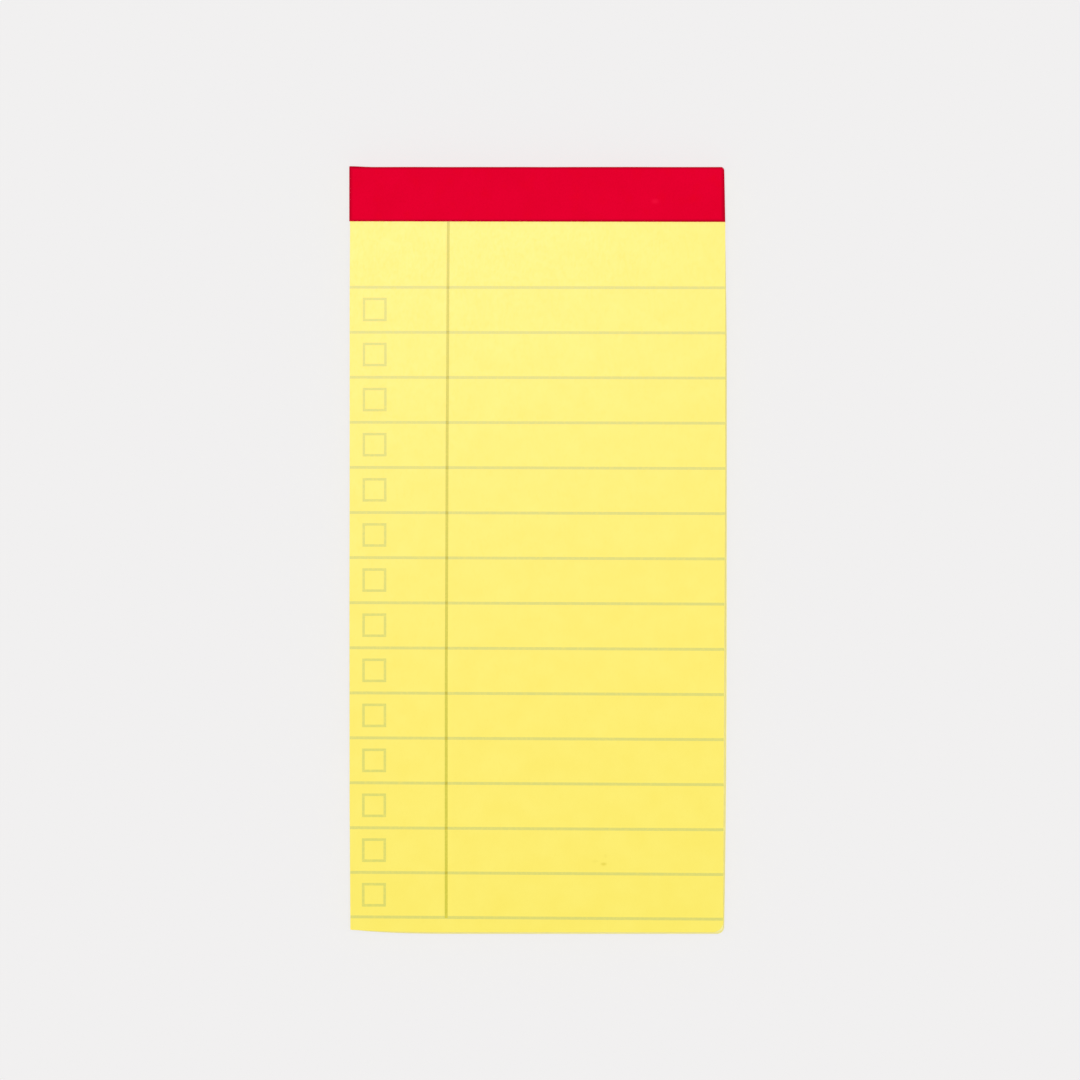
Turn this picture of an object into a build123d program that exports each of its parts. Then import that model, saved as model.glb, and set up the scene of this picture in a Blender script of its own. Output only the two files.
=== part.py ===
from build123d import *
import os

# Sticky note pad, ruled yellow sheets bound along the top edge, lying on its back.
# +X is the right of the writing face, +Y is towards the bound edge and +Z is up from the table.
# The origin is the bottom centre of the whole pad.

# Sheets
sheet_width = 75.0
sheet_length = 152.4
sheet_thickness = 0.1
sheet_count = 50
free_corner_radius = 1.6

# Worn corner, at the left of the free end
worn_corner_run = 18.0
worn_corner_rise = 0.7

# Trim: the cut leans, so the lowest leaf lies further right and reaches further down
trim_lean_side = 0.37
trim_lean_end = 0.45
leaf_recess = 0.06

# How far each leaf in turn lies behind the trim, as shares of the recess
side_recess_shares = (0.0, 0.55, 0.2, 0.85, 0.35, 0.7, 0.1, 1.0, 0.45)
end_recess_shares = (0.3, 0.0, 0.75, 0.4, 0.15, 1.0, 0.6)

# Backing board
board_thickness = 0.65

# Padding glue, a film over the bound edges of the sheets and the board
glue_thickness = 0.1

# Binding tape, folded over the bound edge
tape_thickness = 0.15
tape_front_flap = 10.8
tape_back_flap = 10.8
fold_radius_share = 1.6

# Heights
board_z = tape_thickness
leaf_z = board_z + board_thickness
face_z = leaf_z + sheet_count * sheet_thickness
pad_height = face_z + tape_thickness


def lean_share(z):
    """Share of the trim's lean at height z, from 0 at the top of the pad to 1 at the table."""
    return (pad_height - z) / pad_height


# Overall size
board_lean_share = lean_share(board_z + board_thickness / 2)
pad_width = sheet_width + trim_lean_side
pad_length = tape_thickness + glue_thickness + sheet_length + trim_lean_end * board_lean_share
tape_y = pad_length / 2
glue_y = tape_y - tape_thickness
bound_y = glue_y - glue_thickness


def left_at(z):
    """Left end of the trim at height z."""
    return trim_lean_side * lean_share(z) - pad_width / 2


def right_at(z):
    """Right end of the trim at height z."""
    return left_at(z) + sheet_width


def leaf(z, thickness, side_recess=0.0, end_recess=0.0):
    """One leaf: square at the bound edge, rounded and worn at the corners of its free end."""
    middle_z = z + thickness / 2
    left = left_at(middle_z) + side_recess
    right = right_at(middle_z) - side_recess
    free_y = bound_y - sheet_length - trim_lean_end * lean_share(middle_z) + end_recess
    round_start = (right, free_y + free_corner_radius)
    round_end = (right - free_corner_radius, free_y)
    worn_start = (left + worn_corner_run, free_y)
    worn_end = (left, free_y + worn_corner_rise)
    outline = Curve() + [
        Polyline(worn_end, (left, bound_y), (right, bound_y), round_start),
        RadiusArc(round_start, round_end, free_corner_radius),
        Line(round_end, worn_start),
        TangentArc(worn_start, worn_end, tangent=(-1, 0)),
    ]
    return extrude(Pos(0, 0, z) * make_face(outline), thickness)


def note_sheets():
    """The block of leaves, whose cut edges stand a little unevenly, as one solid."""
    leaves = []
    for i in range(sheet_count):
        side_recess = leaf_recess * side_recess_shares[i % len(side_recess_shares)]
        end_recess = leaf_recess * end_recess_shares[i % len(end_recess_shares)]
        leaves.append(leaf(leaf_z + i * sheet_thickness, sheet_thickness, side_recess, end_recess))
    return Part() + leaves


def backing_board():
    """Chipboard under the last leaf, cut in the same trim."""
    return leaf(board_z, board_thickness)


def trim_bar(front_y, back_y, bottom_z, top_z):
    """Bar along X whose two ends follow the lean of the trim."""
    ends = Polyline(
        (left_at(bottom_z), bottom_z),
        (right_at(bottom_z), bottom_z),
        (right_at(top_z), top_z),
        (left_at(top_z), top_z),
        close=True,
    )
    return extrude(Plane.XZ.offset(-back_y) * make_face(ends), back_y - front_y)


def padding_glue():
    """Dried glue that holds the leaves and the board along their bound edges."""
    return trim_bar(bound_y, glue_y, board_z, face_z)


def binding_tape():
    """Tape over the front, the spine and the back, rounded at its two folds."""
    fold_radius = fold_radius_share * tape_thickness
    front_y = tape_y - tape_front_flap
    back_y = tape_y - tape_back_flap
    spine_in_y = tape_y - tape_thickness
    top_fold_start = (tape_y - fold_radius, pad_height)
    top_fold_end = (tape_y, pad_height - fold_radius)
    low_fold_start = (tape_y, fold_radius)
    low_fold_end = (tape_y - fold_radius, 0)
    section = Curve() + [
        Line((front_y, pad_height), top_fold_start),
        RadiusArc(top_fold_start, top_fold_end, fold_radius),
        Line(top_fold_end, low_fold_start),
        RadiusArc(low_fold_start, low_fold_end, fold_radius),
        Polyline(
            low_fold_end,
            (back_y, 0),
            (back_y, board_z),
            (spine_in_y, board_z),
            (spine_in_y, face_z),
            (front_y, face_z),
            (front_y, pad_height),
        ),
    ]
    strip = extrude(Plane.YZ * make_face(section), pad_width, both=True)
    return strip & trim_bar(min(front_y, back_y), tape_y, 0, pad_height)


os.makedirs("parts", exist_ok=True)
export_step(note_sheets(), "parts/note_sheets.step")
export_step(backing_board(), "parts/backing_board.step")
export_step(padding_glue(), "parts/padding_glue.step")
export_step(binding_tape(), "parts/binding_tape.step")
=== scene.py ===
import math
import random

import bmesh
import bpy
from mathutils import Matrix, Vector, noise


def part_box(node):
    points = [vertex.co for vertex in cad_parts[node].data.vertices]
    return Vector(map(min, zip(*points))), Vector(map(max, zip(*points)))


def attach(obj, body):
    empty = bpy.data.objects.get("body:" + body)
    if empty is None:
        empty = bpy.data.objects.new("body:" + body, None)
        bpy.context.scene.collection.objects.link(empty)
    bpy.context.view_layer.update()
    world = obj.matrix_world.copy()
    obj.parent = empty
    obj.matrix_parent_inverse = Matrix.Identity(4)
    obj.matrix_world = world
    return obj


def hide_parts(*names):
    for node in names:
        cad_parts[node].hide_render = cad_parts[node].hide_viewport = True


# Sticky note pad of ruled yellow sheets, lying on its back and seen from straight above.
# Lengths are in millimetres in the part's own frame, and MM turns them into Blender's metres.
MM = 0.001

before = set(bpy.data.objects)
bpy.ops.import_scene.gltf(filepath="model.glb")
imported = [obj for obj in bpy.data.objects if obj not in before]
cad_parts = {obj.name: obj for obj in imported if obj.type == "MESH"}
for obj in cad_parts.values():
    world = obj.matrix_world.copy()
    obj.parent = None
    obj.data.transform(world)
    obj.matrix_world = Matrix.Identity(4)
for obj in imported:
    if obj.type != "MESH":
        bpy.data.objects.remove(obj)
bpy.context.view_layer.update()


def box_mm(node):
    """Lowest and highest corner of a CAD node, in millimetres."""
    low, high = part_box(node)
    return low / MM, high / MM


sheets_low, sheets_high = box_mm("note_sheets")
tape_low, tape_high = box_mm("binding_tape")
board_low = box_mm("backing_board")[0]
glue_high = box_mm("padding_glue")[1]

# Leaves
SHEET_WIDTH = 75.0
SHEET_LENGTH = 152.4
SHEET_THICKNESS = 0.1
SHEET_COUNT = 50
CORNER_RADIUS = 1.35
TOP_CORNER_RADIUS = 2.1
BOUND_CORNER_RADIUS = 0.7
WORN_RUN = 23.0
WORN_RISE = 0.48
LOW_WORN_RISE = 0.86
WORN_POWER = 3
LEAN_SIDE = 0.37
LEAN_END = 0.45
LEAF_Z = sheets_low.z
FACE_Z = sheets_high.z
BOUND_Y = sheets_high.y
PAD_HEIGHT = tape_high.z

# How far the right edge of the top leaf drifts sideways along its length, in rows of (y, drift)
TOP_RIGHT_DRIFT = (
    (-70.0, -0.4),
    (-50.0, -0.34),
    (-30.0, -0.26),
    (6.0, -0.08),
    (12.0, 0.0),
    (66.0, 0.0),
    (76.5, -0.2),
)

# The same for the right edge of the lowest leaf
LOW_RIGHT_DRIFT = (
    (-76.0, -0.56),
    (-70.0, -0.42),
    (-58.0, -0.24),
    (-46.0, -0.12),
    (-26.0, 0.0),
    (42.0, 0.0),
    (58.0, -0.18),
    (66.0, -0.31),
    (76.5, -0.47),
)

# The same for the left edge of every leaf
LEFT_DRIFT = (
    (-74.0, 0.145),
    (-62.0, 0.07),
    (-50.0, -0.01),
    (-10.0, -0.04),
    (10.0, 0.0),
    (50.0, 0.0),
    (58.0, 0.04),
    (65.0, 0.09),
    (68.0, 0.0),
)

# How much further the lowest leaf reaches at the free end than the trim of the top one
LOW_REACH = 0.15

# Unevenness of the block: bunches of leaves slide sideways, most near the free end, each leaf slides a little
# and stands behind the trim by its share of the recess, and the knife chatters
SHUFFLE_SEED = 11
BUNCH_LEAVES = (3, 9)
BUNCH_SLIDE = 0.05
LEAF_SLIDE = 0.014
SLIDE_RUN_SHARE = 0.5
LEAF_RECESS = 0.06
SIDE_RECESS_SHARES = (0.0, 0.55, 0.2, 0.85, 0.35, 0.7, 0.1, 1.0, 0.45)
CHATTER_DEPTH = 0.012
CHATTER_PITCH = 6.0
CHATTER_LEAVES = 9
CHATTER_START_SHARE = 0.25

# Points along a long edge, along the free end and round a corner
EDGE_STEPS = 60
END_STEPS = 30
CORNER_STEPS = 8

# The map of the stack's cut edges: a ledge's height against a leaf's edge, and how full its bands are
LEDGE_SHARE = 0.3
BAND_FILL = 0.96
MAP_FILL = 0.97

# Backing board
BOARD_Z = board_low.z
BOARD_RECESS = 0.08
BOARD_SOFT_EDGE = 0.06
BOARD_EDGE_POWER = 4
BOARD_EDGE_STEPS = 6

# Padding glue
GLUE_Y = glue_high.y
GLUE_INSET = 0.08

# The top leaf lifts a little at its free end
LIFT_START_Y = -40.0
LIFT_RUN = 36.0
LIFT_HEIGHT = 0.13
LIFT_CORNER_SHARE = 0.15
RIPPLE_HEIGHT = 0.03
RIPPLE_PITCH = 24.0
FLAT_FROM_Y = 50.0
SHEET_ROWS = 76

# Thickness of the print on the top leaf, whose inks lie over one another
INK_LIFT = 0.004
MARGIN_INK_LIFT = 0.008
CROSSING_INK_LIFT = 0.012
INK_SINK = 0.003

# Ruled lines, which drop to the right by a slope that grows down the page by the fan
LINE_COUNT = 15
LINE_WIDTH = 0.58
LINE_PITCH = 8.99
LINE_INSET = 0.03
FIRST_LINE_Y = 52.6
LINE_SLOPE = 0.0017
LINE_FAN = 0.00033
LINE_STEPS = 36

# How far the print stands above its even pitch down the page, in steps of (ruled line, offset)
PRINT_BEND = (
    (0.0, 0.02),
    (3.0, 0.035),
    (5.0, 0.0),
    (9.0, -0.055),
    (12.0, 0.0),
    (13.0, 0.08),
    (14.0, 0.18),
)

# Margin line, in points of (y, x) up the page
MARGIN_WIDTH = 0.58
MARGIN_PATH = (
    (-73.35, -18.4),
    (-24.0, -18.39),
    (-15.0, -18.34),
    (3.0, -18.27),
    (21.0, -18.22),
    (39.0, -18.1),
    (59.0, -18.02),
    (65.7, -17.97),
)

# Check boxes, which stand halfway between two ruled lines
BOX_COUNT = 14
BOX_ROW_SHIFT = 0.5
BOX_LINE_WIDTH = 0.52
BOX_WIDTH = 4.28
BOX_HEIGHT = 4.21
BOX_LEFT_X = -34.8
BOX_TOP_Y = 50.25
BOX_PITCH = 8.996
BOX_STEP_X = -0.012

# Binding tape
TAPE_THICKNESS = 0.15
TAPE_STATIONS = 90
TAPE_FOLD_RADIUS = 0.24
TAPE_FOLD_STEPS = 6
TAPE_END_ROUND = 0.12
TAPE_CORNER_STEPS = 8
TAPE_OVERHANG = 0.07
TAPE_FRONT_SHIFT = 0.04
TAPE_SKEW = 0.0016

# The tape stands off the spine, with lumps, and with an ear at its left end
TAPE_BULGE = 0.09
TAPE_LUMP_DEPTH = 0.025
TAPE_LUMP_PITCH = 7.0
TAPE_LUMP_SQUEEZE = 2
TAPE_LUMP_SLICE = 5
TAPE_LEFT_EAR = 0.16
TAPE_LEFT_EAR_RUN = 5.0


def lean_share(z):
    """Share of the trim's lean at height z, from 0 at the top of the pad to 1 at the table."""
    return 1 - z / PAD_HEIGHT


def left_at(z):
    """Left edge of the trim at height z."""
    return tape_low.x + LEAN_SIDE * lean_share(z)


def free_at(z):
    """Free edge of the trim at height z."""
    return BOUND_Y - SHEET_LENGTH - LEAN_END * lean_share(z)


def blend(a, b, share):
    """Value between a and b."""
    return a + (b - a) * share


def steps(count):
    """Shares from 0 to 1 in so many equal steps."""
    return [i / count for i in range(count + 1)]


def look_up(table, place):
    """Value at a place in a table of (place, value) rows in rising order, held flat beyond its ends."""
    if place <= table[0][0]:
        return table[0][1]
    for (place0, value0), (place1, value1) in zip(table, table[1:]):
        if place <= place1:
            return blend(value0, value1, (place - place0) / (place1 - place0))
    return table[-1][1]


def smooth(share):
    """A share that eases in and out, held from 0 to 1."""
    share = min(max(share, 0.0), 1.0)
    return share * share * (3 - 2 * share)


def cut_back(from_end, radius):
    """How far a rounded corner stands back at a distance from the end."""
    into_round = min(max(radius - from_end, 0), radius)
    return radius - math.sqrt(radius**2 - into_round**2)


def left_edge(z, y):
    """Left edge of the leaf at height z, at y along its length."""
    return left_at(z) + look_up(LEFT_DRIFT, y)


def right_edge(z, y):
    """Right edge of the leaf at height z, at y along its length."""
    height_share = (z - LEAF_Z) / (FACE_Z - LEAF_Z)
    drift = blend(look_up(LOW_RIGHT_DRIFT, y), look_up(TOP_RIGHT_DRIFT, y), height_share)
    return left_at(z) + SHEET_WIDTH + drift


def face_lift(x, y):
    """How far the top leaf stands off the block at a point of its face."""
    lift = LIFT_HEIGHT * smooth((LIFT_START_Y - y) / LIFT_RUN)
    lift *= blend(LIFT_CORNER_SHARE, 1, smooth((x - tape_low.x) / WORN_RUN))
    ripple = RIPPLE_HEIGHT * (1 + noise.noise(Vector((x, y, 0)) / RIPPLE_PITCH)) / 2
    return lift + ripple * smooth((FLAT_FROM_Y - y) / RIPPLE_PITCH)


# Meshes

# Folds sharper than this angle, in degrees, are shaded as edges
SMOOTH_ANGLE = 35.0


def add_piece(name, points, faces, material, slot=None, replaced=None):
    """A closed mesh piece from points in millimetres, riding on the pad."""
    mesh = bpy.data.meshes.new(name)
    mesh.from_pydata([Vector(p) * MM for p in points], [], faces)
    work = bmesh.new()
    work.from_mesh(mesh)
    bmesh.ops.recalc_face_normals(work, faces=work.faces)
    work.to_mesh(mesh)
    work.free()
    mesh.shade_smooth()
    mesh.set_sharp_from_angle(angle=math.radians(SMOOTH_ANGLE))
    mesh.materials.append(material)
    piece = bpy.data.objects.new(name, mesh)
    bpy.context.scene.collection.objects.link(piece)
    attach(piece, "root")
    if replaced:
        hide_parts(replaced)
    return piece


def loft(rings, cyclic=False):
    """Points and faces of a skin over rings of equally many points, capped unless it closes on itself."""
    count = len(rings[0])
    points = [p for ring in rings for p in ring]
    faces = []
    spans = len(rings) if cyclic else len(rings) - 1
    for r in range(spans):
        here = r * count
        ahead = (r + 1) % len(rings) * count
        for i in range(count):
            j = (i + 1) % count
            faces.append((here + i, here + j, ahead + j, ahead + i))
    if not cyclic:
        faces.append(tuple(range(count)))
        faces.append(tuple(range(len(points) - 1, len(points) - 1 - count, -1)))
    return points, faces


def joined(skins):
    """Several skins as the points and faces of one mesh."""
    points = []
    faces = []
    for skin_points, skin_faces in skins:
        start = len(points)
        points += skin_points
        faces += [tuple(start + i for i in face) for face in skin_faces]
    return points, faces


def plate(top, bottom):
    """Points and faces of a closed plate between two grids of points, given as rows."""
    rows = len(top)
    columns = len(top[0])
    points = [p for row in top for p in row] + [p for row in bottom for p in row]
    under = rows * columns
    faces = []
    for r in range(rows - 1):
        for c in range(columns - 1):
            corner = r * columns + c
            quad = (corner, corner + 1, corner + columns + 1, corner + columns)
            faces.append(quad)
            faces.append(tuple(under + i for i in reversed(quad)))
    rim = [(0, c) for c in range(columns)]
    rim += [(r, columns - 1) for r in range(1, rows)]
    rim += [(rows - 1, c) for c in range(columns - 2, -1, -1)]
    rim += [(r, 0) for r in range(rows - 2, 0, -1)]
    rim = [r * columns + c for r, c in rim]
    for here, ahead in zip(rim, rim[1:] + rim[:1]):
        faces.append((ahead, here, under + here, under + ahead))
    return points, faces


def strip(path, width, lift=INK_LIFT):
    """Points and faces of a thin band of ink on the top leaf, along a path of (x, y) points."""
    rings = []
    for i, (x, y) in enumerate(path):
        before = Vector(path[max(i - 1, 0)])
        after = Vector(path[min(i + 1, len(path) - 1)])
        along = (after - before).normalized()
        across = Vector((-along.y, along.x)) * width / 2
        near = Vector((x, y)) + across
        far = Vector((x, y)) - across
        z = FACE_Z + face_lift(x, y)
        low = z - INK_SINK
        high = z + lift
        rings.append([(*near, low), (*near, high), (*far, high), (*far, low)])
    return loft(rings)


# Leaves and board


def leaf_outline(z, slide, push, inset, leaf_index):
    """Outline of a leaf at height z, from the left end of its bound edge, round its free end and back."""
    free_y = free_at(z) - LOW_REACH * lean_share(z) + push

    def chatter(along):
        place = Vector((along / CHATTER_PITCH, leaf_index / CHATTER_LEAVES, 0))
        return CHATTER_DEPTH * noise.noise(place)

    def slid(y):
        return slide * smooth((BOUND_Y - y) / (SLIDE_RUN_SHARE * SHEET_LENGTH))

    outline = []
    worn_rise = blend(WORN_RISE, LOW_WORN_RISE, lean_share(z))
    worn_y = free_y + worn_rise
    for t in steps(EDGE_STEPS):
        y = blend(BOUND_Y, worn_y, t)
        outline.append((left_edge(z, y) + inset + slid(y) + chatter(y), y))
    left = outline[-1][0]
    for t in steps(CORNER_STEPS)[1:]:
        outline.append((left + WORN_RUN * t, free_y + worn_rise * (1 - t) ** WORN_POWER))
    round_y = free_y + CORNER_RADIUS
    round_x = right_edge(z, round_y) - inset + slid(round_y) - CORNER_RADIUS
    for t in steps(END_STEPS)[1:]:
        x = blend(left + WORN_RUN, round_x, t)
        outline.append((x, free_y + chatter(x) * math.sin(math.pi * t)))
    for t in steps(CORNER_STEPS)[1:]:
        angle = math.pi / 2 * t
        x = round_x + CORNER_RADIUS * math.sin(angle)
        outline.append((x, round_y - CORNER_RADIUS * math.cos(angle)))
    for t in steps(EDGE_STEPS)[1:]:
        y = blend(round_y, BOUND_Y - BOUND_CORNER_RADIUS, t)
        x = right_edge(z, y) - inset + slid(y) + chatter(y) * smooth(t / CHATTER_START_SHARE)
        outline.append((x, y))
    bound_right = outline[-1][0]
    for t in steps(CORNER_STEPS)[1:]:
        into_round = BOUND_CORNER_RADIUS * (1 - math.cos(math.pi / 2 * t))
        outline.append((bound_right - into_round, BOUND_Y - cut_back(into_round, BOUND_CORNER_RADIUS)))
    return outline


def sheet_stack(material):
    """Every leaf but the top one, as one block with uneven stepped edges."""
    shuffle = random.Random(SHUFFLE_SEED)
    rings = []
    left_in_bunch = 0
    for i in range(SHEET_COUNT - 1):
        if left_in_bunch == 0:
            left_in_bunch = shuffle.randint(*BUNCH_LEAVES)
            bunch_slide = shuffle.uniform(-BUNCH_SLIDE, BUNCH_SLIDE)
            bunch_push = shuffle.uniform(0, BUNCH_SLIDE)
        left_in_bunch -= 1
        z = LEAF_Z + i * SHEET_THICKNESS
        slide = bunch_slide + shuffle.uniform(-LEAF_SLIDE, LEAF_SLIDE)
        push = bunch_push + shuffle.uniform(-LEAF_SLIDE, LEAF_SLIDE)
        inset = LEAF_RECESS * SIDE_RECESS_SHARES[i % len(SIDE_RECESS_SHARES)]
        outline = leaf_outline(z + SHEET_THICKNESS / 2, slide, push, inset, i)
        rings.append([(x, y, z) for x, y in outline])
        rings.append([(x, y, z + SHEET_THICKNESS) for x, y in outline])
    stack = add_piece("sheet_stack", *loft(rings), material, "yellow_paper", "note_sheets")
    map_cut_edges(stack.data, len(rings[0]))
    return stack


def map_cut_edges(mesh, ring_size):
    """A map for the stack's baked colours: its open sides as bands, with every leaf a few pixels high."""
    side_starts = (0, EDGE_STEPS, EDGE_STEPS + END_STEPS + 2 * CORNER_STEPS, ring_size - 1)
    bands = len(side_starts) - 1
    ring_heights = [0.0]
    for ring in range(1, 2 * (SHEET_COUNT - 1)):
        ring_heights.append(ring_heights[-1] + (1 if ring % 2 else LEDGE_SHARE))
    layer = mesh.uv_layers.new(name="OFBake")
    for face in mesh.polygons:
        corners = [divmod(mesh.loops[i].vertex_index, ring_size) for i in face.loop_indices]
        places = sorted({place for ring, place in corners})
        on_side = len(places) == 2 and places[1] - places[0] == 1
        for loop_index, (ring, place) in zip(face.loop_indices, corners):
            if on_side:
                side = sum(places[0] >= start for start in side_starts[1:])
                start, end = side_starts[side], side_starts[side + 1]
                u = (place - start) / (end - start)
                v = (side + ring_heights[ring] / ring_heights[-1] * BAND_FILL) / bands * MAP_FILL
            else:
                place_share = place / (ring_size - 1)
                turned = math.pi * (place_share if ring % 2 else -place_share)
                u = (1 + math.cos(turned)) / 2
                v = 1 + (1 - MAP_FILL) * ((math.sin(turned) - 1) / 2) * BAND_FILL
            layer.data[loop_index].uv = (u, v)


def board(material):
    """The chipboard under the lowest leaf, which it never overhangs, with its cut edges softened."""
    rings = []
    for t in steps(BOARD_EDGE_STEPS):
        z = blend(BOARD_Z, LEAF_Z, t)
        inset = BOARD_RECESS + BOARD_SOFT_EDGE * (1 - math.sqrt(1 - (2 * t - 1) ** BOARD_EDGE_POWER))
        outline = leaf_outline(z, slide=0, push=inset, inset=inset, leaf_index=0)
        rings.append([(x, y, z) for x, y in outline])
    return add_piece("board", *loft(rings), material, "grey_chipboard", "backing_board")


def top_sheet(material):
    """The top leaf, which lifts a little at its free end."""
    z = FACE_Z - SHEET_THICKNESS / 2
    free_y = free_at(z)
    plain_run = SHEET_WIDTH - WORN_RUN - TOP_CORNER_RADIUS
    round_start = SHEET_WIDTH - TOP_CORNER_RADIUS
    turns = [math.sin(math.pi / 2 * t) for t in steps(CORNER_STEPS)[1:]]
    columns = [WORN_RUN * t for t in steps(CORNER_STEPS)]
    columns += [WORN_RUN + plain_run * t for t in steps(END_STEPS)[1:]]
    columns += [round_start + TOP_CORNER_RADIUS * turn for turn in turns]

    def end_rise(column):
        """How far the free edge stands back at the worn corner and the rounded one."""
        if column < WORN_RUN:
            return WORN_RISE * (1 - column / WORN_RUN) ** WORN_POWER
        return cut_back(SHEET_WIDTH - column, TOP_CORNER_RADIUS)

    top = []
    bottom = []
    for t in steps(SHEET_ROWS):
        row = []
        for column in columns:
            bound_y = BOUND_Y - cut_back(SHEET_WIDTH - column, BOUND_CORNER_RADIUS)
            y = blend(free_y + end_rise(column), bound_y, t)
            x = blend(left_edge(z, y), right_edge(z, y), column / SHEET_WIDTH)
            row.append((x, y, FACE_Z + face_lift(x, y)))
        top.append(row)
        bottom.append([(x, y, face_z - SHEET_THICKNESS) for x, y, face_z in row])
    return add_piece("top_sheet", *plate(top, bottom), material, "yellow_paper", "note_sheets")


# Print


def line_y(row, x):
    """Height on the page of a ruled line, which drops a little to the right."""
    slope = LINE_SLOPE + LINE_FAN * row
    return FIRST_LINE_Y - LINE_PITCH * row + look_up(PRINT_BEND, row) - slope * (x - tape_low.x)


def ruled_lines(material):
    """Fine lines across the whole leaf."""
    lines = []
    for row in range(LINE_COUNT):
        edge_y = line_y(row, 0)
        start = left_edge(FACE_Z, edge_y) + LINE_INSET
        end = right_edge(FACE_Z, edge_y) - LINE_INSET
        stations = [blend(start, end, t) for t in steps(LINE_STEPS)]
        lines.append(strip([(x, line_y(row, x)) for x in stations], LINE_WIDTH))
    return add_piece("ruled_lines", *joined(lines), material)


def margin_line(material):
    """The line down the left of the page, from the tape to the last ruled line."""
    top_y = MARGIN_PATH[-1][0]
    end_y = MARGIN_PATH[0][0]
    stations = [blend(top_y, end_y, t) for t in steps(SHEET_ROWS)]
    path = [(look_up(MARGIN_PATH, y), y) for y in stations]
    return add_piece("margin_line", *strip(path, MARGIN_WIDTH, MARGIN_INK_LIFT), material)


def line_crossings(material):
    """Darker patches of both inks where the margin line runs over the ruled lines."""
    patches = []
    margin_top_x = MARGIN_PATH[-1][1]
    for row in range(LINE_COUNT - 1):
        x = look_up(MARGIN_PATH, line_y(row, margin_top_x))
        ends = (x - MARGIN_WIDTH / 2, x + MARGIN_WIDTH / 2)
        patches.append(strip([(end, line_y(row, end)) for end in ends], LINE_WIDTH, CROSSING_INK_LIFT))
    return add_piece("line_crossings", *joined(patches), material)


def check_boxes(material):
    """One small square outline in the margin of each row."""
    skins = []
    half = BOX_LINE_WIDTH / 2
    for row in range(BOX_COUNT):
        left = BOX_LEFT_X + BOX_STEP_X * row
        top = BOX_TOP_Y - BOX_PITCH * row + look_up(PRINT_BEND, row + BOX_ROW_SHIFT)
        rings = []
        for side_x, side_y in ((0, 0), (0, 1), (1, 1), (1, 0)):
            x = left + BOX_WIDTH * side_x
            y = top - BOX_HEIGHT * side_y
            z = FACE_Z + face_lift(x, y)
            out_x = half * (2 * side_x - 1)
            out_y = half * (1 - 2 * side_y)
            outer = (x + out_x, y + out_y)
            inner = (x - out_x, y - out_y)
            low = z - INK_SINK
            high = z + INK_LIFT
            rings.append([(*outer, low), (*outer, high), (*inner, high), (*inner, low)])
        skins.append(loft(rings, cyclic=True))
    return add_piece("check_boxes", *joined(skins), material)


# Tape and glue


def tape_profile():
    """Section of the folded tape: its outside from the front flap to the back flap, then its inside."""
    fold_y = tape_high.y - TAPE_FOLD_RADIUS
    fold_z = PAD_HEIGHT - TAPE_FOLD_RADIUS
    flap_middle_y = (tape_low.y + fold_y) / 2
    spine_in_y = tape_high.y - TAPE_THICKNESS
    profile = [(tape_low.y, PAD_HEIGHT), (flap_middle_y, PAD_HEIGHT)]
    for t in steps(TAPE_FOLD_STEPS):
        angle = math.pi / 2 * t
        z = PAD_HEIGHT - TAPE_FOLD_RADIUS * (1 - math.cos(angle))
        profile.append((fold_y + TAPE_FOLD_RADIUS * math.sin(angle), z))
    for t in steps(TAPE_FOLD_STEPS)[1:-1]:
        profile.append((tape_high.y, blend(fold_z, TAPE_FOLD_RADIUS, t)))
    for t in steps(TAPE_FOLD_STEPS):
        angle = math.pi / 2 * t
        z = TAPE_FOLD_RADIUS * (1 - math.sin(angle))
        profile.append((fold_y + TAPE_FOLD_RADIUS * math.cos(angle), z))
    profile += [(flap_middle_y, 0), (tape_low.y, 0)]
    profile += [(tape_low.y, TAPE_THICKNESS), (spine_in_y, TAPE_THICKNESS)]
    profile += [(spine_in_y, FACE_Z), (tape_low.y, FACE_Z)]
    return profile


def tape_stations():
    """Places along the spine, closer together where its two ends are rounded."""
    turns = [1 - math.cos(math.pi / 2 * t) for t in steps(TAPE_CORNER_STEPS)]
    inner_run = SHEET_WIDTH - TAPE_END_ROUND - BOUND_CORNER_RADIUS
    stations = [TAPE_END_ROUND * turn for turn in turns[:-1]]
    stations += [TAPE_END_ROUND + inner_run * t for t in steps(TAPE_STATIONS)]
    return stations + [SHEET_WIDTH - BOUND_CORNER_RADIUS * turn for turn in turns[-2::-1]]


def tape_cover(material):
    """The folded tape, a little lumpy over the spine, whose two ends are rounded, the right one more."""
    middle_y = (tape_low.y + tape_high.y) / 2
    rings = []
    for along in tape_stations():
        left_blunt = cut_back(along, TAPE_END_ROUND)
        right_blunt = cut_back(SHEET_WIDTH - along, BOUND_CORNER_RADIUS)
        ear = TAPE_LEFT_EAR * smooth(1 - along / TAPE_LEFT_EAR_RUN)
        ring = []
        for y, z in tape_profile():
            x = blend(left_at(z) - TAPE_OVERHANG, right_edge(z, y), along / SHEET_WIDTH)
            inside = y <= tape_high.y - TAPE_THICKNESS / 2 and TAPE_THICKNESS <= z <= FACE_Z
            if y < middle_y:
                y += TAPE_FRONT_SHIFT - TAPE_SKEW * along
            elif inside:
                y -= right_blunt
            else:
                lump_place = Vector((along, z * TAPE_LUMP_SQUEEZE, TAPE_LUMP_SLICE)) / TAPE_LUMP_PITCH
                lump = TAPE_LUMP_DEPTH * noise.noise(lump_place)
                y += TAPE_BULGE + lump + ear * smooth((y - middle_y) / (tape_high.y - middle_y))
                y -= left_blunt + right_blunt
            ring.append((x, y, z))
        rings.append(ring)
    return add_piece("tape_cover", *loft(rings), material, "red_tape", "binding_tape")


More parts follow.
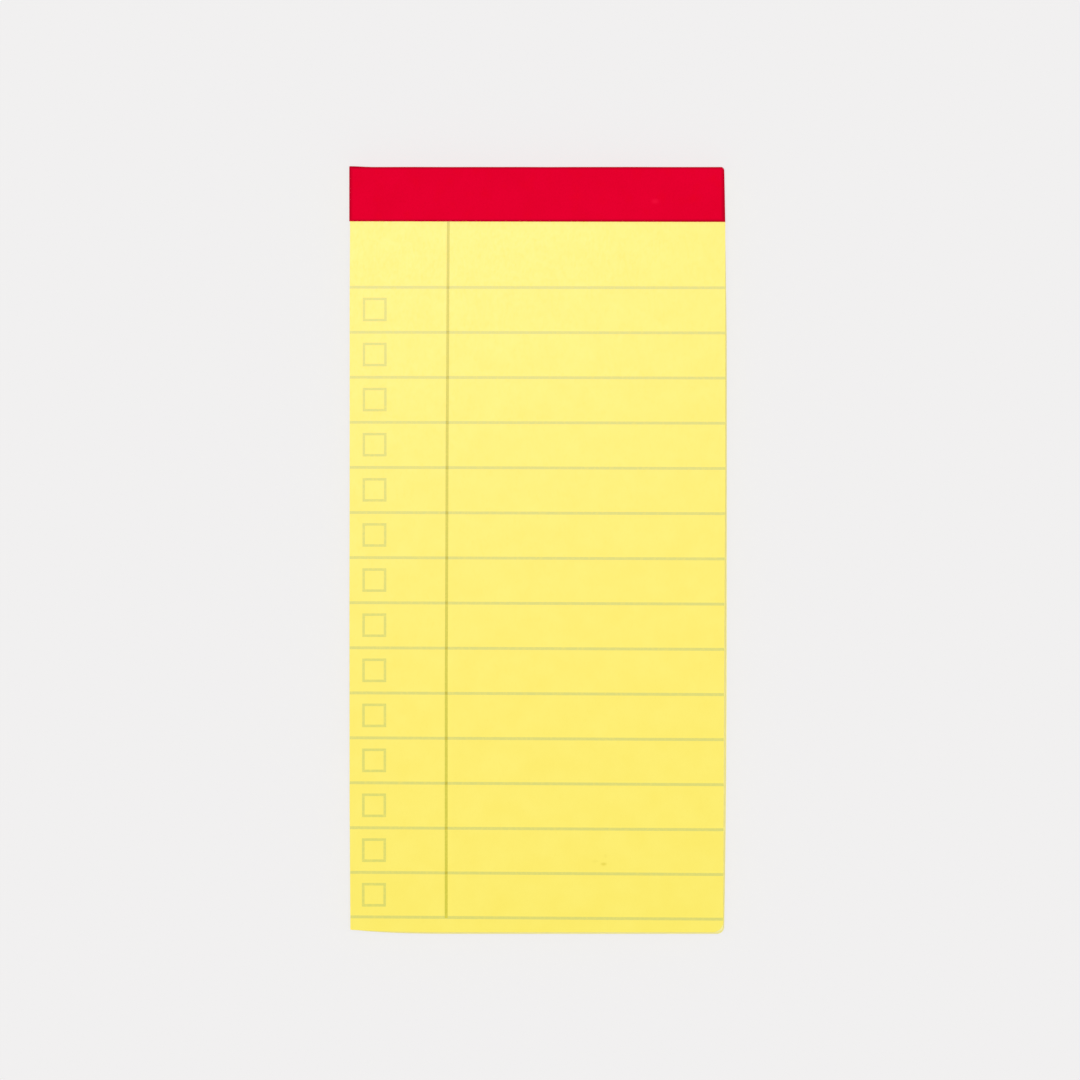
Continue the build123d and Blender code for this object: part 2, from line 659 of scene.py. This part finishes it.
def glue_film(material):
    """The brushed film of padding glue between the bound edges and the tape."""
    rings = []
    for along in tape_stations():
        ring = []
        for y, z in ((BOUND_Y, BOARD_Z), (GLUE_Y, BOARD_Z), (GLUE_Y, FACE_Z), (BOUND_Y, FACE_Z)):
            right = right_edge(z, y)
            x = blend(left_edge(z, y) + GLUE_INSET, right - GLUE_INSET, along / SHEET_WIDTH)
            ring.append((x, y - cut_back(right - x, BOUND_CORNER_RADIUS), z))
        rings.append(ring)
    return add_piece("glue_film", *loft(rings), material, "padding_glue", "padding_glue")


# Materials

YELLOW = (0.945, 0.806, 0.106)
YELLOW_DEEP = (0.92, 0.773, 0.088)
YELLOW_PALE = (0.955, 0.828, 0.124)
YELLOW_SPECK = (0.79, 0.66, 0.052)
EDGE_YELLOW = (0.96, 0.915, 0.46)
EDGE_YELLOW_DEEP = (0.89, 0.80, 0.27)
RULING_GREEN = (0.69, 0.67, 0.141)
BOX_GREEN = (0.68, 0.665, 0.12)
MARGIN_OLIVE = (0.612, 0.56, 0.027)
CROSSING_OLIVE = (0.485, 0.44, 0.016)
RED = (0.805, 0.0003, 0.0285)
RED_DEEP = (0.77, 0.0003, 0.025)
RED_WARM = (0.815, 0.0005, 0.021)
RED_GRAIN = (0.70, 0.0003, 0.022)
# Painted shade: the darker red along the rim of the tape's front flap
RED_RIM_SHADE = (0.30, 0.002, 0.012)
RED_PALE = (0.86, 0.0035, 0.038)
BOARD_GREY = (0.36, 0.32, 0.27)
BOARD_DARK = (0.20, 0.17, 0.135)
BOARD_PALE = (0.52, 0.48, 0.42)
GLUE = (0.70, 0.66, 0.54)
GLUE_DEEP = (0.56, 0.51, 0.39)

# The paper's finish, which the inks on it share
PAPER_ROUGHNESS = (0.42, 0.48)
PAPER_SPECULAR = 0.25

# Heights of a bump between which a surface turns from its first roughness to its second
ROUGHNESS_SPAN = (0.3, 0.7)

# Specks in the top leaf and a rubbed spot on the tape, as (x, y, half width, half height, strength)
PAPER_SPECKS = (
    (13.05, -62.55, 0.8, 0.42, 1.0),
    (11.3, -62.0, 0.8, 0.4, 0.25),
    (13.4, -60.9, 0.4, 0.5, 0.25),
)
TAPE_SPOT = (23.3, 69.75, 1.0, 0.7, 1.0)
SPOT_CORE = 0.25

# The darker rim of the tape's front flap, which is painted shade along its edges: its widths along X and Y,
# and where it begins below the face
RIM_WIDTHS = (0.75, 0.6)
RIM_SHADE_SHARE = 0.65
RIM_LOW_SHARE = 0.97

# Sockets of Blender's mix node that carry colours
MIX_COLOUR = 6
MIX_OTHER_COLOUR = 7
MIX_RESULT = 2


def new_node(tree, kind, inputs=None, **settings):
    """A shader node with its settings and the values or links of its inputs."""
    made = tree.nodes.new(kind)
    for key, value in settings.items():
        setattr(made, key, value)
    for key, value in (inputs or {}).items():
        if isinstance(value, bpy.types.NodeSocket):
            tree.links.new(value, made.inputs[key])
        else:
            made.inputs[key].default_value = value
    return made


def maths(tree, operation, first, second):
    """Result of an operation on two numbers."""
    return new_node(tree, "ShaderNodeMath", {0: first, 1: second}, operation=operation).outputs[0]


def vector_maths(tree, operation, *terms, outlet="Vector"):
    """Result of an operation on one or two vectors."""
    inputs = dict(enumerate(terms))
    return new_node(tree, "ShaderNodeVectorMath", inputs, operation=operation).outputs[outlet]


def new_material(name, specular):
    """A material with a plain shader, whose colour, roughness and bump the caller links."""
    material = bpy.data.materials.new(name)
    material.use_nodes = True
    tree = material.node_tree
    shader = tree.nodes["Principled BSDF"]
    shader.inputs["Specular IOR Level"].default_value = specular
    place = new_node(tree, "ShaderNodeTexCoord").outputs["Object"]
    return material, tree, shader, place


def noise_at(tree, place, pitch, detail=2.0, stretch=(1, 1, 1)):
    """Noise with features of about pitch millimetres, from 0 to 1, stretched along the axes."""
    scale = [1 / (pitch * MM * s) for s in stretch]
    spread = vector_maths(tree, "MULTIPLY", place, scale)
    inputs = {"Vector": spread, "Scale": 1.0, "Detail": detail}
    return new_node(tree, "ShaderNodeTexNoise", inputs).outputs["Fac"]


def ranged(tree, value, low, high, to_low=0.0, to_high=1.0):
    """Value mapped from low..high to to_low..to_high, and held there."""
    inputs = {"Value": value, "From Min": low, "From Max": high, "To Min": to_low, "To Max": to_high}
    return new_node(tree, "ShaderNodeMapRange", inputs).outputs["Result"]


def mixed(tree, share, colour, other):
    """Colour turning into the other one as share goes from 0 to 1."""
    inputs = {0: share}
    for socket, value in ((MIX_COLOUR, colour), (MIX_OTHER_COLOUR, other)):
        inputs[socket] = value if isinstance(value, bpy.types.NodeSocket) else (*value, 1.0)
    return new_node(tree, "ShaderNodeMix", inputs, data_type="RGBA").outputs[MIX_RESULT]


def tinted(tree, colour, other, value, start, full, most=1.0):
    """Colour turning into the other one, by up to most, as a value goes from start to full."""
    return mixed(tree, ranged(tree, value, start, full, 0.0, most), colour, other)


def spot_at(tree, place, x, y, half_width, half_height, strength):
    """Strength in the middle of an oval spot on the face, fading to 0 at its rim, in millimetres."""
    scale = (1 / (half_width * MM), 1 / (half_height * MM), 0)
    middle = (x / half_width, y / half_height, 0)
    scaled = vector_maths(tree, "MULTIPLY", place, scale)
    away = vector_maths(tree, "DISTANCE", scaled, middle, outlet="Value")
    return ranged(tree, away, 1.0, SPOT_CORE, 0.0, strength)


def painted_rim_shade(tree, place):
    """How far painted shade darkens the rim of the tape's front flap, most at its very edge."""
    low = Vector((left_at(FACE_Z) - TAPE_OVERHANG, tape_low.y))
    high = Vector((right_edge(FACE_Z, tape_high.y), tape_high.y + TAPE_BULGE))
    middle = (low + high) / 2
    half = (high - low) / 2
    scale = [1 / (width * MM) for width in RIM_WIDTHS]
    centred = vector_maths(tree, "SUBTRACT", place, (*(middle * MM), 0))
    away = vector_maths(tree, "ABSOLUTE", centred)
    past = vector_maths(tree, "SUBTRACT", away, (*(half * MM), 0))
    scaled = vector_maths(tree, "MULTIPLY", past, (*scale, 0))
    axes = new_node(tree, "ShaderNodeSeparateXYZ", {0: scaled}).outputs
    nearest = maths(tree, "MAXIMUM", axes["X"], axes["Y"])
    rim = ranged(tree, nearest, -1.0, 0.0, 0.0, RIM_SHADE_SHARE)
    height = new_node(tree, "ShaderNodeSeparateXYZ", {0: place}).outputs["Z"]
    on_face = ranged(tree, height, FACE_Z * RIM_LOW_SHARE * MM, FACE_Z * MM)
    return maths(tree, "MULTIPLY", rim, on_face)


def finish_surface(tree, shader, colour, height, depth, roughness):
    """Links a shader's colour, a bump of depth millimetres and a roughness that follows the bump's height."""
    tree.links.new(colour, shader.inputs["Base Color"])
    bump = new_node(tree, "ShaderNodeBump", {"Height": height, "Distance": depth * MM})
    tree.links.new(bump.outputs["Normal"], shader.inputs["Normal"])
    tree.links.new(ranged(tree, height, *ROUGHNESS_SPAN, *roughness), shader.inputs["Roughness"])


def paper_material():
    """Smooth dyed writing paper: a cloudy formation, short fibres and a few specks."""
    material, tree, shader, place = new_material("ruled_paper", PAPER_SPECULAR)
    clouds = noise_at(tree, place, pitch=5.0, detail=3.0)
    fibres = noise_at(tree, place, pitch=0.35, stretch=(1, 2.5, 1))
    colour = tinted(tree, YELLOW, YELLOW_PALE, clouds, start=0.3, full=0.7)
    colour = tinted(tree, colour, YELLOW_DEEP, fibres, start=0.55, full=0.9, most=0.5)
    for speck in PAPER_SPECKS:
        colour = mixed(tree, spot_at(tree, place, *speck), colour, YELLOW_SPECK)
    finish_surface(tree, shader, colour, fibres, depth=0.006, roughness=PAPER_ROUGHNESS)
    return material


def edge_material():
    """Cut edges of the leaves: each leaf a little paler or deeper, with streaks along it."""
    material, tree, shader, place = new_material("cut_paper_edges", specular=0.3)
    leaves = noise_at(tree, place, pitch=1.0, detail=0.0, stretch=(60, 60, SHEET_THICKNESS))
    streaks = noise_at(tree, place, pitch=4.0, detail=3.0, stretch=(1, 1, 0.05))
    bunches = noise_at(tree, place, pitch=1.0, detail=1.0, stretch=(90, 90, 0.7))
    colour = tinted(tree, EDGE_YELLOW, EDGE_YELLOW_DEEP, leaves, start=0.35, full=0.65)
    colour = tinted(tree, colour, EDGE_YELLOW_DEEP, bunches, start=0.5, full=0.75, most=0.6)
    colour = tinted(tree, colour, EDGE_YELLOW_DEEP, streaks, start=0.5, full=0.8, most=0.6)
    finish_surface(tree, shader, colour, leaves, depth=0.03, roughness=(0.7, 0.9))
    return material


def ink_material(name, ink, gap):
    """Thin ink, lighter by up to gap where the paper's fibres let less of it in."""
    material, tree, shader, place = new_material(name, PAPER_SPECULAR)
    coverage = noise_at(tree, place, pitch=0.5, detail=3.0)
    colour = tinted(tree, ink, YELLOW, coverage, start=0.45, full=0.8, most=gap)
    finish_surface(tree, shader, colour, coverage, depth=0.003, roughness=PAPER_ROUGHNESS)
    return material


def tape_material():
    """Dull red paper tape with a fine crepe grain, a rubbed spot and painted shade along the rim of its front
    flap.
    """
    material, tree, shader, place = new_material("red_paper_tape", specular=0.0)
    clouds = noise_at(tree, place, pitch=6.0, detail=3.0)
    warm = noise_at(tree, place, pitch=3.0, detail=1.0)
    grain = noise_at(tree, place, pitch=0.25, stretch=(1, 1.6, 1))
    grain_share = ranged(tree, grain, low=0.3, high=0.55, to_low=0.4, to_high=0.0)
    colour = tinted(tree, RED, RED_DEEP, clouds, start=0.4, full=0.75)
    colour = tinted(tree, colour, RED_WARM, warm, start=0.55, full=0.8, most=0.6)
    colour = mixed(tree, grain_share, colour, RED_GRAIN)
    colour = mixed(tree, spot_at(tree, place, *TAPE_SPOT), colour, RED_PALE)
    # Painted shade darkens the flap's red towards its rim
    colour = mixed(tree, painted_rim_shade(tree, place), colour, RED_RIM_SHADE)
    finish_surface(tree, shader, colour, grain, depth=0.012, roughness=(0.75, 0.95))
    return material


def board_material():
    """Grey chipboard: pressed waste fibres with dark and pale flecks."""
    material, tree, shader, place = new_material("chipboard", specular=0.2)
    clouds = noise_at(tree, place, pitch=9.0, detail=4.0)
    fibres = noise_at(tree, place, pitch=0.6, detail=3.0, stretch=(3, 1, 1))
    dark_flecks = noise_at(tree, place, pitch=0.5, detail=1.0, stretch=(1, 2, 1))
    pale_flecks = noise_at(tree, place, pitch=0.8, detail=1.0, stretch=(2, 1, 1))
    colour = tinted(tree, BOARD_GREY, BOARD_PALE, clouds, start=0.3, full=0.7, most=0.35)
    colour = tinted(tree, colour, BOARD_DARK, fibres, start=0.35, full=0.7, most=0.35)
    colour = tinted(tree, colour, BOARD_DARK, dark_flecks, start=0.68, full=0.74, most=0.8)
    colour = tinted(tree, colour, BOARD_PALE, pale_flecks, start=0.68, full=0.74, most=0.8)
    finish_surface(tree, shader, colour, fibres, depth=0.04, roughness=(0.8, 0.95))
    return material


def glue_material():
    """Dried padding glue, brushed on thinly."""
    material, tree, shader, place = new_material("dried_padding_glue", specular=0.5)
    brushed = noise_at(tree, place, pitch=1.2, stretch=(4, 1, 1))
    colour = tinted(tree, GLUE, GLUE_DEEP, brushed, start=0.35, full=0.7)
    finish_surface(tree, shader, colour, brushed, depth=0.03, roughness=(0.4, 0.6))
    return material


# Studio

# Camera: the picture's width and scale, the point that it looks down on, and the end of its view in metres
IMAGE_PX = 1080
PX_PER_MM = 5.009
VIEW_X = 0.33
VIEW_Y = 2.15
CAMERA_HEIGHT = 3000.0
SENSOR = 36.0
CLIP_END = 100

# Background, and how much of the floor's look is plain background rather than light and shadow
BACKGROUND = (0.880, 0.871, 0.871)
FLOOR_SIZE = 8000.0
FLOOR_FLAT_SHARE = 0.82

# Lights, with angles in degrees
KEY_STRENGTH = 1.57
KEY_TILT = 1.0
KEY_AZIMUTH = 40.0
KEY_SOFTNESS = 14.0
SKY_STRENGTH = 0.5
SHEEN_PLACE = (-30.0, 120.0, 350.0)
SHEEN_SIZE = 160.0
SHEEN_POWER = 2.6
SHEEN_COLOUR = (0.95, 0.74, 1.0)


def add_camera():
    """A long lens straight above the page, framed as the photograph is."""
    data = bpy.data.cameras.new("camera")
    data.sensor_width = SENSOR
    data.lens = SENSOR * CAMERA_HEIGHT * PX_PER_MM / IMAGE_PX
    data.clip_end = CLIP_END
    camera = bpy.data.objects.new("camera", data)
    camera.location = Vector((VIEW_X, VIEW_Y, FACE_Z + CAMERA_HEIGHT)) * MM
    bpy.context.scene.collection.objects.link(camera)
    bpy.context.scene.camera = camera


def add_key():
    """A soft key light from the upper left."""
    data = bpy.data.lights.new("key", "SUN")
    data.energy = KEY_STRENGTH
    data.angle = math.radians(KEY_SOFTNESS)
    key = bpy.data.objects.new("key", data)
    key.rotation_euler = (-math.radians(KEY_TILT), 0, math.radians(KEY_AZIMUTH))
    key.visible_glossy = False
    bpy.context.scene.collection.objects.link(key)


def add_sheen():
    """A soft box that only gives the paper its sheen."""
    data = bpy.data.lights.new("sheen", "AREA")
    data.energy = SHEEN_POWER
    data.size = SHEEN_SIZE * MM
    data.color = SHEEN_COLOUR
    sheen = bpy.data.objects.new("sheen", data)
    sheen.location = Vector(SHEEN_PLACE) * MM
    sheen.rotation_euler = (-sheen.location).to_track_quat("-Z", "Y").to_euler()
    sheen.visible_diffuse = False
    sheen.visible_camera = False
    bpy.context.scene.collection.objects.link(sheen)


def cleared_tree(owner):
    """The emptied node tree of a world or a material."""
    owner.use_nodes = True
    owner.node_tree.nodes.clear()
    return owner.node_tree


def add_world():
    """A weak white sky, which looks like the background where it is seen, mirrored or seen through."""
    world = bpy.data.worlds.new("studio")
    tree = cleared_tree(world)
    path = new_node(tree, "ShaderNodeLightPath").outputs
    seen = maths(tree, "MAXIMUM", path["Is Camera Ray"], path["Is Glossy Ray"])
    seen = maths(tree, "MAXIMUM", seen, path["Is Transmission Ray"])
    sky = new_node(tree, "ShaderNodeBackground", {"Color": (1, 1, 1, 1), "Strength": SKY_STRENGTH})
    backdrop = new_node(tree, "ShaderNodeBackground", {"Color": (*BACKGROUND, 1), "Strength": 1.0})
    both = new_node(tree, "ShaderNodeMixShader", {0: seen, 1: sky.outputs[0], 2: backdrop.outputs[0]})
    new_node(tree, "ShaderNodeOutputWorld", {"Surface": both.outputs[0]})
    bpy.context.scene.world = world


def add_floor():
    """A pale floor under the pad that keeps a light shadow."""
    half = FLOOR_SIZE * MM / 2
    mesh = bpy.data.meshes.new("floor")
    corners = [(-half, -half, 0), (half, -half, 0), (half, half, 0), (-half, half, 0)]
    mesh.from_pydata(corners, [], [(0, 1, 2, 3)])
    floor = bpy.data.objects.new("floor", mesh)
    material = bpy.data.materials.new("pale_floor")
    tree = cleared_tree(material)
    path = new_node(tree, "ShaderNodeLightPath").outputs
    share = maths(tree, "MULTIPLY", path["Is Camera Ray"], FLOOR_FLAT_SHARE)
    lit = new_node(tree, "ShaderNodeBsdfDiffuse", {"Color": (*BACKGROUND, 1)})
    flat = new_node(tree, "ShaderNodeEmission", {"Color": (*BACKGROUND, 1), "Strength": 1.0})
    both = new_node(tree, "ShaderNodeMixShader", {0: share, 1: lit.outputs[0], 2: flat.outputs[0]})
    new_node(tree, "ShaderNodeOutputMaterial", {"Surface": both.outputs[0]})
    mesh.materials.append(material)
    bpy.context.scene.collection.objects.link(floor)


board(board_material())
sheet_stack(edge_material())
top_sheet(paper_material())
ruled_lines(ink_material("ruling_ink", RULING_GREEN, gap=0.35))
check_boxes(ink_material("box_ink", BOX_GREEN, gap=0.4))
margin_line(ink_material("margin_ink", MARGIN_OLIVE, gap=0.25))
line_crossings(ink_material("crossing_ink", CROSSING_OLIVE, gap=0.25))
tape_cover(tape_material())
glue_film(glue_material())

add_camera()
add_key()
add_sheen()
add_world()
add_floor()
bpy.context.scene.view_settings.view_transform = "Standard"
